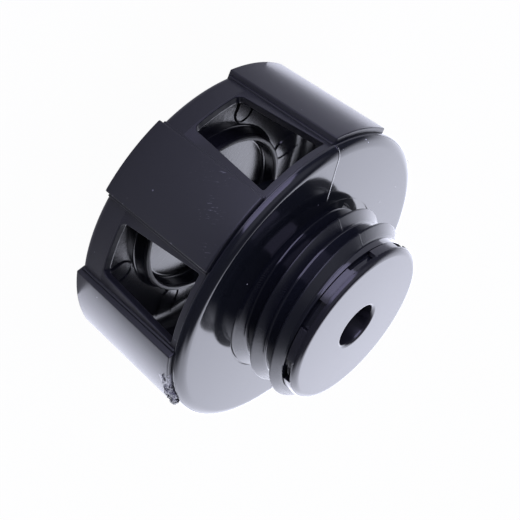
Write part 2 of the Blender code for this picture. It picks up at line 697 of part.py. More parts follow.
def make_retainer():
    """The retainer: a holed disc that holds the foam in the standpipe's mouth."""
    radius = STANDPIPE_BORE - SEAT_GAP
    corners = [
        (0.0, RETAINER_TOP, 0.0),
        (radius, RETAINER_TOP, 0.0),
        (radius, RETAINER_UNDERSIDE, 0.0),
        (0.0, RETAINER_UNDERSIDE, 0.0),
    ]
    retainer = turned("filter_retainer", corners, VALVE_SEGMENTS)
    low = RETAINER_UNDERSIDE - CUT_OVERRUN
    high = RETAINER_TOP + CUT_OVERRUN
    hole = rod("retainer_hole", RETAINER_HOLE_RADIUS, low, high, RETAINER_HOLE_CIRCLE)
    middle = rod("retainer_middle_hole", RETAINER_HOLE_RADIUS, low, high, 0.0)
    combine(retainer, around("retainer_holes", hole, RETAINER_HOLES, 0.0), "DIFFERENCE")
    combine(retainer, add_cutter("retainer_middle_hole", middle), "DIFFERENCE")
    return settle(retainer, plastic("retainer_plastic", (0.02, 0.02, 0.022), 0.4))


make_knob()
make_base()
make_end_cap()
make_valve_plate()
make_valve_seal()
make_intake_valve()
make_spring()
make_filter()
make_retainer()
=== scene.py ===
import math

import bmesh
import bpy
import numpy as np
from mathutils import Matrix, Vector


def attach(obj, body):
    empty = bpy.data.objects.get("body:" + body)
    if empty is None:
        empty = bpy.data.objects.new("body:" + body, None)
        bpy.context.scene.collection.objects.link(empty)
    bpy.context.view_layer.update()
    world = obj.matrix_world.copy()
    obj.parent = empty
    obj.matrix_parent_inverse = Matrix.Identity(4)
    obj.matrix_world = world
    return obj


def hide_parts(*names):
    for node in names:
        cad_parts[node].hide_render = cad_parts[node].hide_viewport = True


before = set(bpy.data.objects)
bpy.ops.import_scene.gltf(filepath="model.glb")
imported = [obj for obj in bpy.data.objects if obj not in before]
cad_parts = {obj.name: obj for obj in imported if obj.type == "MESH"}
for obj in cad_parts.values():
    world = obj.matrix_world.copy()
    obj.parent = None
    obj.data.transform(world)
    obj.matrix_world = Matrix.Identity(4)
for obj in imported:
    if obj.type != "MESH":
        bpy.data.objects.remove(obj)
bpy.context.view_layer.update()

MM = 0.001

# Fineness of the meshes
COLUMNS = 360
END_CAP_COLUMNS = 288
ARC_STEP = 0.28 * MM
LONG_STEP = 1.6 * MM
SUPPORT = 0.1 * MM
WELD = 0.001 * MM
SHARP_ANGLE = math.radians(38)
FILLET_SHARE = 0.499

# Knob
KNOB_HEIGHT = 32.15 * MM
WALL_RADIUS_AT_HEAD = 38.5 * MM
WALL_RADIUS_AT_RIM = 39.4 * MM
WALL = 2.2 * MM
FLOOR = 1.5 * MM
HEAD_EDGE_FILLET = 1.8 * MM
FLOOR_FILLET = 5.0 * MM
RIM_FILLET = 0.3 * MM
SIXTH_DEGREES = 60
SIXTH = math.radians(SIXTH_DEGREES)

# Vent windows
WINDOW_LOW = 7.0 * MM
WINDOW_HIGH = 30.3 * MM
WINDOW_WIDTH_LOW = 14.1 * MM
WINDOW_WIDTH_HIGH = 18.8 * MM
WINDOW_CORNERS = (1.6 * MM, 1.6 * MM, 0.5 * MM, 0.5 * MM)
WINDOW_EDGE_FILLET = 0.25 * MM
PANEL_LOW = 4.2 * MM
PANEL_HIGH = 31.25 * MM
PANEL_HALF_DEGREES = 17
PANEL_ROWS = 40
PANEL_SHARES = (1.0, 0.75, 0.5, 0.27, 0.1, 0.03)
WALL_SHARES = (0.08, 0.36, 0.64, 0.92)
CORNER_CELLS = 4
EDGE_POINTS = 5

# Gripping pads
PAD_WIDTH = 19.5 * MM
PAD_LOW = 0.1 * MM
PAD_HIGH = 32.2 * MM
PAD_RADIUS_AT_HEAD = 40.0 * MM
PAD_RADIUS_AT_RIM = 41.2 * MM
PAD_DEPTH = 3.2 * MM
PAD_FILLET = 0.3 * MM
PAD_CELLS = (24, 30, 2)
FOOT_WIDTH = 0.55 * MM
FOOT_LOW = PAD_LOW + HEAD_EDGE_FILLET / 3
FOOT_HIGH = PAD_HIGH - RIM_FILLET
FOOT_PROUD = 0.45 * MM
FOOT_DEPTH = 1.4 * MM
FOOT_FILLET = 0.14 * MM
FOOT_CELLS = (24, 24, 2)

# Splash ring and ribs on the knob's floor
SPLASH_RADIUS = 22.5 * MM
SPLASH_LIP = 1.1 * MM
SPLASH_TOP = 5.2 * MM
SPLASH_DRAFT = 0.5 * MM
SPLASH_FOOT_DRAFT = 0.9 * MM
SPLASH_FOOT_FILLET = 0.7 * MM
SPLASH_TOP_FILLET = 0.35 * MM
SPLASH_BORE_FILLET = 0.9 * MM
RIB_WIDTH = 6.4 * MM
RIB_RISE = 0.12 * MM
RIB_BEAD = 0.34 * MM
RIB_BEAD_WIDTH = 0.55 * MM
RIB_START = 24.4 * MM
RIB_END = 37.0 * MM
RIB_SINK = 0.5 * MM
RIB_SIDE_POINTS = 20
RIB_ARC_POINTS = 25
RIB_BEAD_POINTS = 9

# Base
FLANGE_RADIUS = 40.0 * MM
FLANGE_FACE = 34.5 * MM
FLANGE_FOOT = 32.27 * MM
RIM_ROUND_RADIUS = 2.7 * MM
RIM_ROUND_HEIGHT = 2.0 * MM
RIM_ROUND_POINTS = 26
FLANGE_FOOT_FILLET = 0.14 * MM
RELIEF_RADIUS = 23.8 * MM
RELIEF_FLOOR = 34.25 * MM
RELIEF_EDGE = 0.1 * MM
RELIEF_FILLET = 0.08 * MM
LOCATING_RADIUS = 36.9 * MM
LOCATING_BORE = 35.4 * MM
LOCATING_FOOT = 30.7 * MM
LOCATING_ROOT_FILLET = 0.3 * MM
PIPE_RADIUS = 16.7 * MM
PIPE_BORE = 14.9 * MM
PIPE_FOOT = 15.0 * MM
PIPE_FOOT_FILLET = 0.3 * MM
PIPE_ROOT_FILLET = 1.0 * MM
WEB_FOOT = 32.5 * MM
PIN_RADIUS = 5.15 * MM
PIN_TOP = 36.0 * MM
PIN_FILLET = 0.4 * MM
SPIGOT_BORE = 18.2 * MM
BORE_FOOT_FILLET = 0.6 * MM
SPIGOT_CORE = 20.8 * MM
SHOULDER = 48.3 * MM
SHOULDER_INSET = 0.25 * MM
SHOULDER_DROP = 0.05 * MM
NECK_RADIUS = 19.45 * MM
NECK_TOP = 50.3 * MM
NECK_TOP_FILLET = 0.3 * MM
NECK_FOOT_FILLET = 0.1 * MM
SMALL_FILLET = 0.2 * MM
WEB_HUB = 7.0 * MM
WEB_RIM = 13.5 * MM
WEB_RIB = 2.0 * MM
WEB_CUT_LOW = WEB_FOOT - 1.5 * MM
WEB_CUT_HIGH = FLANGE_FACE + 1.0 * MM
WEB_CUT_ROWS = 6
WEB_CUT_COLUMNS = 13

# Thread
PITCH = 6.0 * MM
CREST_NOSE = 0.3 * MM
CREST_CORNER = 23.8 * MM
CREST_EDGE = 0.05 * MM
KNOB_FLANK = 0.4 * MM
KNOB_ROOT_FILLET = 0.45 * MM
TANK_FLANK = 2.35 * MM
TANK_ROOT_FILLET = 0.7 * MM
ROOT_LEAN = 0.35 * MM
TURN_SEAM = 2.8 * MM
LEAD_ANGLE = math.radians(-91.5)
LEAD_HEIGHT = 39.15 * MM
THREAD_START = -1.26
THREAD_END = 1.5
THREAD_FADE = 0.09
THREAD_TOP = 48.2 * MM
STRIP_START = -1.7
STRIP_END = 2.05

# End cap
CAP_RADIUS = 21.15 * MM
CAP_FACE = 51.8 * MM
CAP_DISC_FOOT = 50.6 * MM
CAP_EDGE_FILLET = 1.8 * MM
SKIRT_BORE = 19.75 * MM
SKIRT_FOOT = 48.6 * MM
SLOT_TOP = 50.45 * MM
SLOT_HALF_WIDTH = 3.675 * MM
SLOT_ANGLE = math.radians(-80.1)
SLOTS = 8
SLOT_CELLS = 16
SKIRT_LEVELS = 5
SKIRT_STEPS = 4
SKIRT_BEVEL = 0.1 * MM
SKIRT_BEVEL_SEGMENTS = 2
SKIRT_BEVEL_ANGLE = math.radians(50)
MOUTH_RADIUS = 5.7 * MM
MOUTH_FILLET = 0.8 * MM
SEAT_RADIUS = 4.6 * MM
SEAT_HEIGHT = 45.8 * MM
SEAT_INNER_FILLET = 0.25 * MM
SEAT_OUTER_FILLET = 0.2 * MM
FUNNEL_WALL = 1.6 * MM
FUNNEL_ROOT_FILLET = 0.6 * MM

# Torn gate on the rim end of one gripping pad
TEAR_MIDDLE = math.radians(-26)
TEAR_HALF_ANGLE = math.radians(11.5)
TEAR_RADIUS = 40.55 * MM
TEAR_HEIGHT = 31.3 * MM
TEAR_REACH = 1.15 * MM
TEAR_DEPTH = 1.4 * MM
TEAR_ROUGHNESS = 0.2 * MM
TEAR_LEAN = 0.75 * MM
TEAR_BLUNTNESS = 3.5
TEAR_GROWTH = 0.22
TEAR_CHIP_POWER = 0.7
TEAR_WAVES = ((9, 2, 0.3), (14, -3, 1.9), (23, 5, 4.1), (37, -7, 2.6), (51, 9, 5.5))
TEAR_ROWS = 90
TEAR_COLUMNS = 48

# Looks: tones, depths of bumps in metres, places on the knob in millimetres
KNOB_TONE = (0.011, 0.0115, 0.0155)
WORN_TONE = (0.2, 0.2, 0.22)
BASE_TONE = (0.0075, 0.0085, 0.012)
DUST_TONE = (0.5, 0.5, 0.52)
CAP_TONES = ((0.011, 0.011, 0.014), (0.016, 0.016, 0.02))
# Foam tones: dark painted shade for the cells' pits, then the light ridges
FOAM_TONES_WITH_PIT_SHADE = ((0.09, 0.08, 0.06), (0.5, 0.47, 0.38))
FOAM_CELLS = 1600.0
MOULD_BUMP = 0.00002
CAP_BUMP = 0.00001
INNER_BUMP = 0.00003
FOAM_BUMP = 0.0003
MARK_CORE = 0.3
SPECK_CORE = 0.4
SCUFF_SLANT = 0.45
SCUFF_PLACES = ((-1.3, 24.9, 4.5), (5.8, 29.9, 2.5), (-8.5, 22.3, 3.0), (-5.9, 17.9, 3.5))
TORN_WAY = (0.5, 0.866)

# Inner pieces: name of the finish, dark and light tone, roughness, grains in a metre, metallic
INNER_FINISHES = {
    "relief_valve_plate": ("valve_plastic_white", (0.62, 0.6, 0.54), (0.74, 0.72, 0.66), 0.35, 900.0, 0.0),
    "relief_valve_seal": ("seal_rubber_black", (0.018,) * 3, (0.035,) * 3, 0.62, 1400.0, 0.0),
    "intake_valve": ("umbrella_rubber_black", (0.025, 0.025, 0.027), (0.05,) * 3, 0.55, 1400.0, 0.0),
    "relief_spring": ("spring_steel_drawn", (0.5, 0.5, 0.52), (0.66, 0.66, 0.68), 0.22, 2500.0, 1.0),
    "filter_retainer": (
        "retainer_plastic_black", (0.014, 0.014, 0.016), (0.024, 0.024, 0.027), 0.35, 1200.0, 0.0),
}

# Camera, fitted to the ellipses of the photograph
FOCAL_SHARE = 1187.774 / 520
SENSOR_WIDTH = 36.0
NEAR_CLIP = 0.01
CAMERA_PLACE = (-0.004995, -0.259759, 0.140588)
CAMERA_AXES = ((-0.60888, 0.34225, 0.71563), (-0.7929, -0.23549, -0.562), (-0.02382, -0.90962, 0.41476))

# Light
STUDIO_WHITE = (0.84, 0.86, 1.0)
LAVENDER = (0.64, 0.61, 1.0)
BACKDROP_LIGHT = 3.45
BACKDROP_EDGE = (0.2, 0.74)
BACKDROP_TURN = math.radians(-11)
BACKDROP_TOP = (0.8, 0.66)
GLOW_WAY = (-0.42, -0.26, 0.87)
GLOW_EDGE = (0.8, 0.98)
GLOW_LIGHT = 0.5
ROOM_LIGHT = 0.12
TABLE_LIGHT = 2.5
TABLE_SIZE = (0.8, 0.5)
TABLES = ((-0.143, 0.442, math.radians(-45)), (0.326, 0.345, math.radians(20)))
FLOOR_TONE = (0.72, 0.72, 0.75)
# Painted shade: colour of the floor far out in front and to the right
FLOOR_PAINTED_SHADE_TONE = (0.18, 0.18, 0.19)
FLOOR_GLOW_SHARE = 0.25
FLOOR_CAMERA_SHARE = 0.97
FLOOR_REACH = 4.0
LAVENDER_LIGHT = 3.4
SOFTBOX_PLACE = (-0.31, -0.56, 0.36)
SOFTBOX_TARGET = (0.0, 0.0, 0.3)
SOFTBOX_SIZE = (0.57, 0.7)
TABLE_GLOW_PLACE = (-0.085, -0.15)
TABLE_GLOW_SIZE = (0.13, 0.09)
TABLE_GLOW_TURN = math.radians(-29)
LAMP_LIFT = 0.0004


def run(start, end, filleted_start, filleted_end):
    """Points between the ends of a straight run, with one close to each rounded end to keep it flat."""
    length = np.hypot(*(end - start))
    if length < 4 * SUPPORT:
        return []
    low = SUPPORT if filleted_start else 0.0
    high = length - (SUPPORT if filleted_end else 0.0)
    reaches = np.linspace(low, high, max(2, math.ceil((high - low) / LONG_STEP) + 1))
    reaches = reaches[(reaches > 0) & (reaches < length)]
    return [start + (end - start) * reach / length for reach in reaches]


def section(corners):
    """Outline of a section from corners of radius, height and fillet, with none at its two ends.

    Each fillet is the arc that touches both sides, with its centre on the corner's bisector, and
    takes less than half of either side.
    """
    arcs = []
    for index, (x, y, fillet) in enumerate(corners):
        here = np.array((x, y))
        if fillet == 0:
            arcs.append([here])
            continue
        before = np.array(corners[index - 1][:2]) - here
        after = np.array(corners[index + 1][:2]) - here
        before_length = np.hypot(*before)
        after_length = np.hypot(*after)
        before = before / before_length
        after = after / after_length
        half = math.acos(np.clip(before @ after, -1, 1)) / 2
        reach = min(fillet / math.tan(half), before_length * FILLET_SHARE, after_length * FILLET_SHARE)
        radius = reach * math.tan(half)
        bisector = (before + after) / np.hypot(*(before + after))
        centre = here + bisector * reach / math.cos(half)
        first = here + before * reach - centre
        last = here + after * reach - centre
        turn = math.atan2(first[0] * last[1] - first[1] * last[0], first @ last)
        steps = max(3, math.ceil(radius * abs(turn) / ARC_STEP))
        angles = turn * np.arange(steps + 1) / steps
        arcs.append([
            centre + np.array((math.cos(a) * first[0] - math.sin(a) * first[1],
                               math.sin(a) * first[0] + math.cos(a) * first[1]))
            for a in angles])
    points = list(arcs[0])
    for arc, following in zip(arcs, arcs[1:]):
        points += run(arc[-1], following[0], len(arc) > 1, len(following) > 1)
        points += following
    points = np.array(points)
    steps = np.hypot(*np.diff(points, axis=0).T)
    return points[np.concatenate(([True], steps > WELD))]


def round_axis(radius, angle, height):
    """Points round Z: x = r cos(angle), y = r sin(angle), z = height."""
    radius, angle, height = np.broadcast_arrays(radius, angle, height)
    return np.stack((radius * np.cos(angle), radius * np.sin(angle), height), axis=-1)


def turned(outline, angles):
    """Grid of a section turned about Z, with a column for each angle."""
    return round_axis(outline[:, :1], angles, outline[:, 1:])


def swung(outwards, across, height, turn):
    """Points from their distances outwards and across, turned about Z to their place.

    x = outwards cos(turn) - across sin(turn), y = outwards sin(turn) + across cos(turn), z = height.
    """
    return np.stack((
        outwards * math.cos(turn) - across * math.sin(turn),
        outwards * math.sin(turn) + across * math.cos(turn),
        height), axis=-1)


class Skin:
    """Grids of points gathered into one closed mesh, welded where their edges meet."""

    def __init__(self):
        self.points = []
        self.faces = []
        self.count = 0

    def add(self, grid, wrap=False, mask=None):
        """Add a grid of rows, columns and three coordinates; wrap joins its last column to its first."""
        rows, columns = grid.shape[:2]
        index = self.count + np.arange(rows * columns).reshape(rows, columns)
        if wrap:
            index = np.hstack((index, index[:, :1]))
        faces = np.stack((index[:-1, :-1], index[:-1, 1:], index[1:, 1:], index[1:, :-1]), axis=-1)
        self.faces.append(faces.reshape(-1, 4) if mask is None else faces[mask])
        self.points.append(grid.reshape(-1, 3))
        self.count += rows * columns

    def make(self, name):
        """The object: one mesh, its doubles merged and its faces turned outwards."""
        points = np.concatenate(self.points).astype(np.float32)
        faces = np.concatenate(self.faces).astype(np.int32)
        mesh = bpy.data.meshes.new(name)
        mesh.vertices.add(len(points))
        mesh.vertices.foreach_set("co", points.ravel())
        mesh.loops.add(faces.size)
        mesh.loops.foreach_set("vertex_index", faces.ravel())
        mesh.polygons.add(len(faces))
        mesh.polygons.foreach_set("loop_start", np.arange(0, faces.size, 4, dtype=np.int32))
        mesh.update(calc_edges=True)
        work = bmesh.new()
        work.from_mesh(mesh)
        bmesh.ops.remove_doubles(work, verts=work.verts, dist=WELD)
        bmesh.ops.dissolve_degenerate(work, edges=work.edges, dist=WELD)
        bmesh.ops.recalc_face_normals(work, faces=work.faces)
        work.to_mesh(mesh)
        work.free()
        smooth(mesh)
        piece = bpy.data.objects.new(name, mesh)
        bpy.context.scene.collection.objects.link(piece)
        return piece


def smooth(mesh):
    """Smooth shading, with a crease only where faces meet at a clear angle."""
    mesh.shade_smooth()
    mesh.set_sharp_from_angle(angle=SHARP_ANGLE)


def combined(piece, others, operation):
    """Join closed meshes to a closed piece, or cut them from it, and keep the result as its mesh."""
    for other in others:
        boolean = piece.modifiers.new(other.name, "BOOLEAN")
        boolean.operation = operation
        boolean.solver = "MANIFOLD"
        boolean.object = other
    graph = bpy.context.evaluated_depsgraph_get()
    mesh = bpy.data.meshes.new_from_object(piece.evaluated_get(graph))
    piece.modifiers.clear()
    piece.data = mesh
    smooth(mesh)
    for other in others:
        bpy.data.objects.remove(other)
    return piece


def wall_radius(height):
    """Outer radius of the knob's wall: a straight draft from the head to the rim."""
    return WALL_RADIUS_AT_HEAD + (WALL_RADIUS_AT_RIM - WALL_RADIUS_AT_HEAD) * height / KNOB_HEIGHT


def knob_inside():
    """Section of the knob's inside, from the rim down the wall, over the splash ring to the axis."""
    bore = SPLASH_RADIUS - SPLASH_LIP
    return section([
        (wall_radius(PANEL_HIGH) - WALL, PANEL_HIGH, 0),
        (WALL_RADIUS_AT_HEAD - WALL, FLOOR, FLOOR_FILLET),
        (SPLASH_RADIUS + SPLASH_FOOT_DRAFT, FLOOR, SPLASH_FOOT_FILLET),
        (SPLASH_RADIUS, SPLASH_TOP, SPLASH_TOP_FILLET),
        (bore, SPLASH_TOP, SPLASH_TOP_FILLET),
        (bore - SPLASH_DRAFT, FLOOR, SPLASH_BORE_FILLET),
        (0.0, FLOOR, 0),
    ])


INSIDE = knob_inside()
WALL_INSIDE = INSIDE[:np.argmax(np.diff(INSIDE[:, 1]) >= 0)][::-1]


def bore_radius(height):
    """Inner radius of the knob's wall, read from the section's wall and floor fillet."""
    return np.interp(height, WALL_INSIDE[:, 1], WALL_INSIDE[:, 0])


def window_outline():
    """A window's outline across and up the wall, with the directions that point out of the hole.

    It runs from the middle of one rounded corner to the middle of the next, side by side: half a
    corner's arc, a straight run and half the next arc.
    """
    low, high = WINDOW_WIDTH_LOW / 2, WINDOW_WIDTH_HIGH / 2
    corners = np.array([(-low, WINDOW_LOW), (low, WINDOW_LOW), (high, WINDOW_HIGH), (-high, WINDOW_HIGH)])
    cells = [2 * PANEL_HALF_DEGREES, PANEL_ROWS] * 2
    sides = np.roll(corners, -1, axis=0) - corners
    along = sides / np.linalg.norm(sides, axis=1, keepdims=True)
    out = np.stack((along[:, 1], -along[:, 0]), axis=-1)
    points, directions = [], []
    for index, count in enumerate(cells):
        straight = count - 2 * CORNER_CELLS
        arc_turns = []
        for corner in (index, (index + 1) % 4):
            before, after = out[(corner - 1) % 4], out[corner]
            spread = math.atan2(before[0] * after[1] - before[1] * after[0], before @ after)
            bisector = (before + after) / np.linalg.norm(before + after)
            fillet = WINDOW_CORNERS[corner]
            centre = corners[corner] - bisector * fillet / math.cos(spread / 2)
            arc_turns.append((centre, bisector, spread / 2, fillet))
        steps = np.arange(CORNER_CELLS + 1) / CORNER_CELLS
        for place, (centre, bisector, half, fillet) in enumerate(arc_turns):
            angles = half * steps if place == 0 else half * (steps - 1)
            turned_x = bisector[0] * np.cos(angles) - bisector[1] * np.sin(angles)
            turned_y = bisector[0] * np.sin(angles) + bisector[1] * np.cos(angles)
            arc = np.stack((turned_x, turned_y), axis=-1)
            if place == 0:
                points.append(centre + fillet * arc)
                directions.append(arc)
            else:
                start = points[-1][-1]
                end = centre + fillet * arc[0]
                shares = np.arange(1, straight)[:, None] / straight
                points.append(start + (end - start) * shares)
                directions.append(np.broadcast_to(out[index], shares.shape[:1] + (2,)))
                points.append((centre + fillet * arc)[:-1])
                directions.append(arc[:-1])
    return np.concatenate(points), np.concatenate(directions)


def panel_outline():
    """The panel round a window as angle and height, sampled like the window's outline."""
    half = math.radians(PANEL_HALF_DEGREES)
    across = np.linspace(-half, half, 2 * PANEL_HALF_DEGREES + 1)[:-1]
    up = np.linspace(PANEL_LOW, PANEL_HIGH, PANEL_ROWS + 1)[:-1]
    down = np.linspace(PANEL_HIGH, PANEL_LOW, PANEL_ROWS + 1)[:-1]
    return np.concatenate((
        np.stack((across, np.full_like(across, PANEL_LOW)), axis=-1),
        np.stack((np.full_like(up, half), up), axis=-1),
        np.stack((-across, np.full_like(across, PANEL_HIGH)), axis=-1),
        np.stack((np.full_like(down, -half), down), axis=-1)))


def window_panels(skin):
    """Six pierced panels of the wall.

    Rings of points go from the panel's border in to the window's edge, round a small fillet, through
    the wall with straight sides, round the inner fillet and out to the border again. A point across
    the wall at x lies at y = sqrt(r r - x x) from the axis along the window's middle direction.
    """
    edge, out = window_outline()
    border = panel_outline()
    rings = []
    for inner in (False, True):
        radius_of = bore_radius if inner else wall_radius
        border_across = radius_of(border[:, 1]) * np.sin(border[:, 0])
        side = []
        lip = edge + out * WINDOW_EDGE_FILLET
        for share in PANEL_SHARES:
            height = lip[:, 1] + (border[:, 1] - lip[:, 1]) * share
            across = lip[:, 0] + (border_across - lip[:, 0]) * share
            side.append((across, height, radius_of(height)))
        for angle in np.radians(np.linspace(0, 90, EDGE_POINTS)):
            lip = edge + out * WINDOW_EDGE_FILLET * (1 - math.sin(angle))
            sink = WINDOW_EDGE_FILLET * (1 - math.cos(angle))
            side.append((lip[:, 0], lip[:, 1], radius_of(lip[:, 1]) + (sink if inner else -sink)))
        rings += side[::-1] if inner else side
        if not inner:
            start = wall_radius(edge[:, 1]) - WINDOW_EDGE_FILLET
            end = bore_radius(edge[:, 1]) + WINDOW_EDGE_FILLET
            rings += [(edge[:, 0], edge[:, 1], start + (end - start) * share) for share in WALL_SHARES]
    across, height, radius = (np.array(values) for values in zip(*rings))
    outwards = np.sqrt(radius ** 2 - across ** 2)
    for sixth in range(6):
        skin.add(swung(outwards, across, height, sixth * SIXTH), wrap=True)


def soft_box(size, fillet, cells):
    """Six grids of a box's sides with rounded edges.

    Each point of the sharp box is drawn towards the box that is smaller by the fillet all round,
    and set back at the fillet's distance from it.
    """
    size = np.array(size)
    steps = []
    for length, count in zip(size, cells):
        rim = fillet * np.tan(np.radians(np.linspace(0, 45, 4)))
        inner = np.linspace(fillet, length - fillet, count + 1)
        support = [fillet + SUPPORT, length - fillet - SUPPORT]
        values = np.concatenate((fillet - rim, inner, length - fillet + rim, support))
        steps.append(np.unique(values.round(9)))
    grids = []
    for axis in range(3):
        first, second = [other for other in range(3) if other != axis]
        for value in (0.0, size[axis]):
            grid = np.empty((len(steps[first]), len(steps[second]), 3))
            grid[..., axis] = value
            grid[..., first] = steps[first][:, None]
            grid[..., second] = steps[second]
            core = np.clip(grid, fillet, size - fillet)
            away = grid - core
            grids.append(core + away / np.linalg.norm(away, axis=-1, keepdims=True) * fillet)
    return grids


def pad_radius(height):
    """Outer radius of the gripping pads: a straight draft from the head to the rim."""
    share = (height - PAD_LOW) / (PAD_HIGH - PAD_LOW)
    return PAD_RADIUS_AT_HEAD + (PAD_RADIUS_AT_RIM - PAD_RADIUS_AT_HEAD) * share


def bent_bar(name, width, low, high, depth, fillet, top_radius, cells, turn):
    """A bar with parallel sides whose outer face follows a cone about Z.

    Across, up and out of a rounded box become x, height and the distance below the top radius, and
    a point at x lies at y = sqrt(r r - x x) before the bar is turned to its place.
    """
    skin = Skin()
    for grid in soft_box((width, high - low, depth), fillet, cells):
        across = grid[..., 0] - width / 2
        height = grid[..., 1] + low
        radius = top_radius(height) - depth + grid[..., 2]
        outwards = np.sqrt(radius ** 2 - across ** 2)
        skin.add(swung(outwards, across, height, turn))
    return skin.make(name)


def foot_radius(height):
    """Radius of the low step along the pads' feet, just proud of the wall."""
    return wall_radius(height) + FOOT_PROUD


def floor_rib(turn):
    """A low rib with a round inner end and a fine bead along its outline.

    Rings of its outline step in over the bead, whose height is a squared sine, to its middle line.
    """
    half = RIB_WIDTH / 2
    arc = np.linspace(-math.pi / 2, math.pi / 2, RIB_ARC_POINTS)
    long_side = np.linspace(RIB_START + half, RIB_END, RIB_SIDE_POINTS)[1:]
    x = np.concatenate((long_side[::-1], RIB_START + half - half * np.cos(arc), long_side))
    y = np.concatenate((np.full_like(long_side, -half), half * np.sin(arc), np.full_like(long_side, half)))
    middle_x = np.clip(x, RIB_START + half, RIB_END)
    wave = np.linspace(0, 1, RIB_BEAD_POINTS)
    insets = np.concatenate(([0.0], RIB_BEAD_WIDTH * wave, [RIB_BEAD_WIDTH + SUPPORT]))
    bead = FLOOR + RIB_RISE * wave + RIB_BEAD * np.sin(math.pi * wave) ** 2
    heights = np.concatenate(([FLOOR - RIB_SINK], bead, [FLOOR + RIB_RISE]))
    rings = [(middle_x, 0 * y, np.full_like(x, FLOOR - RIB_SINK))]
    for inset, height in zip(insets, heights):
        share = 1 - inset / half
        rings.append((middle_x + (x - middle_x) * share, y * share, np.full_like(x, height)))
    rings.append((middle_x, 0 * y, np.full_like(x, FLOOR + RIB_RISE)))
    x, y, z = (np.array(values) for values in zip(*rings))
    skin = Skin()
    skin.add(swung(x, y, z, turn), wrap=True)
    return skin.make("rib")


def torn_gate():
    """The torn gate: a rough lump along the outer edge of a pad's rim end.

    It is an ellipse carried round Z, blunt at both ends and larger towards the far one, pushed
    out and in by a sum of sines of both directions.
    """
    skin = Skin()
    along = np.linspace(-1, 1, TEAR_ROWS)[:, None]
    around = np.linspace(0, math.tau, TEAR_COLUMNS, endpoint=False)[None]
    blunt = np.sqrt(np.clip(1 - np.abs(along) ** TEAR_BLUNTNESS, 0, 1))
    size = blunt * (1 - TEAR_GROWTH + TEAR_GROWTH * along)
    chips = np.zeros((TEAR_ROWS, TEAR_COLUMNS))
    for pitch, twist, phase in TEAR_WAVES:
        chips += np.sin(along * pitch + around * twist + phase) / math.sqrt(pitch / TEAR_WAVES[0][0])
    push = TEAR_ROUGHNESS * np.sign(chips) * np.abs(chips) ** TEAR_CHIP_POWER * size
    radius = TEAR_RADIUS + (TEAR_REACH * size + push) * np.cos(around)
    height = TEAR_HEIGHT + TEAR_LEAN * along + (TEAR_DEPTH * size + push) * np.sin(around)
    skin.add(round_axis(radius, TEAR_MIDDLE + TEAR_HALF_ANGLE * along, height), wrap=True)
    return skin.make("torn_gate")


def make_knob():
    """The knob: turned bell with pierced panels, gripping pads, their stepped feet and the floor's ribs."""
    skin = Skin()
    angles = np.radians(np.arange(COLUMNS))
    rim = section([
        (wall_radius(PANEL_HIGH), PANEL_HIGH, 0),
        (WALL_RADIUS_AT_RIM, KNOB_HEIGHT, RIM_FILLET),
        (WALL_RADIUS_AT_RIM - WALL, KNOB_HEIGHT, RIM_FILLET),
        (wall_radius(PANEL_HIGH) - WALL, PANEL_HIGH, 0),
    ])
    head = section([
        (wall_radius(PANEL_LOW), PANEL_LOW, 0),
        (WALL_RADIUS_AT_HEAD, 0.0, HEAD_EDGE_FILLET),
        (0.0, 0.0, 0),
    ])
    first = np.argmax(INSIDE[:, 1] < PANEL_LOW)
    inside = np.vstack(([bore_radius(PANEL_LOW), PANEL_LOW], INSIDE[first:]))
    for outline in (rim, head, inside):
        skin.add(turned(outline, angles), wrap=True)
    heights = np.linspace(PANEL_LOW, PANEL_HIGH, PANEL_ROWS + 1)
    for sixth in range(6):
        start = SIXTH_DEGREES * sixth + PANEL_HALF_DEGREES
        end = SIXTH_DEGREES * (sixth + 1) - PANEL_HALF_DEGREES
        between = np.radians(np.arange(start, end + 1))
        for radius_of in (wall_radius, bore_radius):
            skin.add(turned(np.stack((radius_of(heights), heights), axis=-1), between))
    window_panels(skin)
    knob = skin.make("knob_moulding")
    parts = []
    for sixth in range(6):
        turn = SIXTH * (sixth + 0.5)
        parts += [
            bent_bar("pad", PAD_WIDTH, PAD_LOW, PAD_HIGH, PAD_DEPTH, PAD_FILLET,
                     pad_radius, PAD_CELLS, turn),
            bent_bar("pad_foot", PAD_WIDTH + 2 * FOOT_WIDTH, FOOT_LOW, FOOT_HIGH, FOOT_DEPTH, FOOT_FILLET,
                     foot_radius, FOOT_CELLS, turn),
            floor_rib(turn),
        ]
    parts.append(torn_gate())
    return combined(knob, parts, "UNION")


def thread_profile():
    """One pitch of the thread as height above the crest's lower edge, and radius.

    A steep flank faces the knob and a sloped one the tank, with a round nose between them. The root
    leans outwards towards the steep flank.
    """
    outline = section([
        (SPIGOT_CORE, TURN_SEAM - PITCH, 0),
        (SPIGOT_CORE + ROOT_LEAN, -KNOB_FLANK, KNOB_ROOT_FILLET),
        (CREST_CORNER, CREST_EDGE, CREST_NOSE),
        (SPIGOT_CORE, TANK_FLANK, TANK_ROOT_FILLET),
        (SPIGOT_CORE, TURN_SEAM, 0),
    ])
    return outline[:, 1], outline[:, 0]


def thread_share(turns):
    """Share of the thread's full depth: 1 along its length, and down to 0 as a sine at both ends."""
    from_end = np.minimum(turns - THREAD_START, THREAD_END - turns)
    return np.sin(np.clip(from_end / THREAD_FADE, 0, 1) * math.pi / 2)


def thread_strip():
    """The threaded wall: one pitch's profile carried up the helix.

    Its height is cut to the room between the flange and the shoulder, and the radius is read again
    at the cut height, so the thread ends flat there. The crest sinks to the core at both ends.
    """
    rise, reach = thread_profile()
    first = math.floor(STRIP_START * COLUMNS)
    last = math.ceil(STRIP_END * COLUMNS)
    turns = np.arange(first, last + 1) / COLUMNS
    angle = LEAD_ANGLE + turns * math.tau
    lead = LEAD_HEIGHT + turns * PITCH
    height = np.clip(lead + rise[:, None], RELIEF_FLOOR, THREAD_TOP)
    depth = np.interp(height - lead, rise, reach) - SPIGOT_CORE
    return round_axis(SPIGOT_CORE + depth * thread_share(turns), angle, height)


